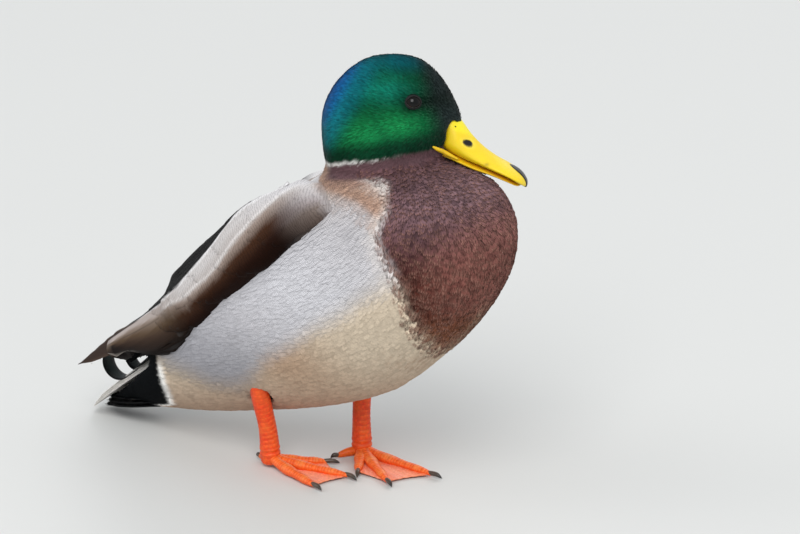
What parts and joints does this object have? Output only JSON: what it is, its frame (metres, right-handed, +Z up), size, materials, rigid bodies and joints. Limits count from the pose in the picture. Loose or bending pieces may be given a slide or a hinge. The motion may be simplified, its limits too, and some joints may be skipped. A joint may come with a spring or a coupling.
{
  "type": "drake mallard figure",
  "caption": "Life-size drake mallard standing at rest with folded wings, curled tail coverts, turned head and flat webbed feet, still museum-style figure.",
  "frame": {"origin": "middle of the bottom of the bounding box, at the level of both soles", "axes": "+X the way the body faces, +Y to the bird's left, +Z up"},
  "size_m": [0.3068, 0.1302, 0.2702],
  "materials": {
    "body_plumage": "soft feathers, grey flanks, brown breast, cream belly",
    "black_plumage": "soft feathers with a faint gloss",
    "white_collar": "soft feathers",
    "green_head": "glossy iridescent feathers",
    "bill_horn": "satin horn",
    "bill_nail": "satin horn",
    "eye": "wet gloss",
    "tail_feathers": "smooth vanes",
    "wing_feathers": "smooth vanes",
    "scapular_feathers": "smooth vanes",
    "leg_scutes": "satin scales",
    "foot_webs": "satin skin",
    "claw": "satin horn"
  },
  "bodies": {
    "root": {"torso": "body_plumage", "rump": "black_plumage", "neck": "white_collar", "head": "green_head", "bill_upper": "bill_horn", "bill_lower": "bill_horn", "bill_nail": "bill_nail", "eye_right": "eye", "eye_left": "eye", "tail": "tail_feathers", "curl_right": "black_plumage", "curl_left": "black_plumage", "wing_right": "wing_feathers", "wing_left": "wing_feathers", "scapulars_right": "scapular_feathers", "scapulars_left": "scapular_feathers", "leg_right": "leg_scutes", "leg_left": "leg_scutes", "foot_right": "foot_webs", "foot_left": "foot_webs", "claw_right_inner": "claw", "claw_right_middle": "claw", "claw_right_outer": "claw", "claw_right_hallux": "claw", "claw_left_inner": "claw", "claw_left_middle": "claw", "claw_left_outer": "claw", "claw_left_hallux": "claw"}
  },
  "joints": []
}
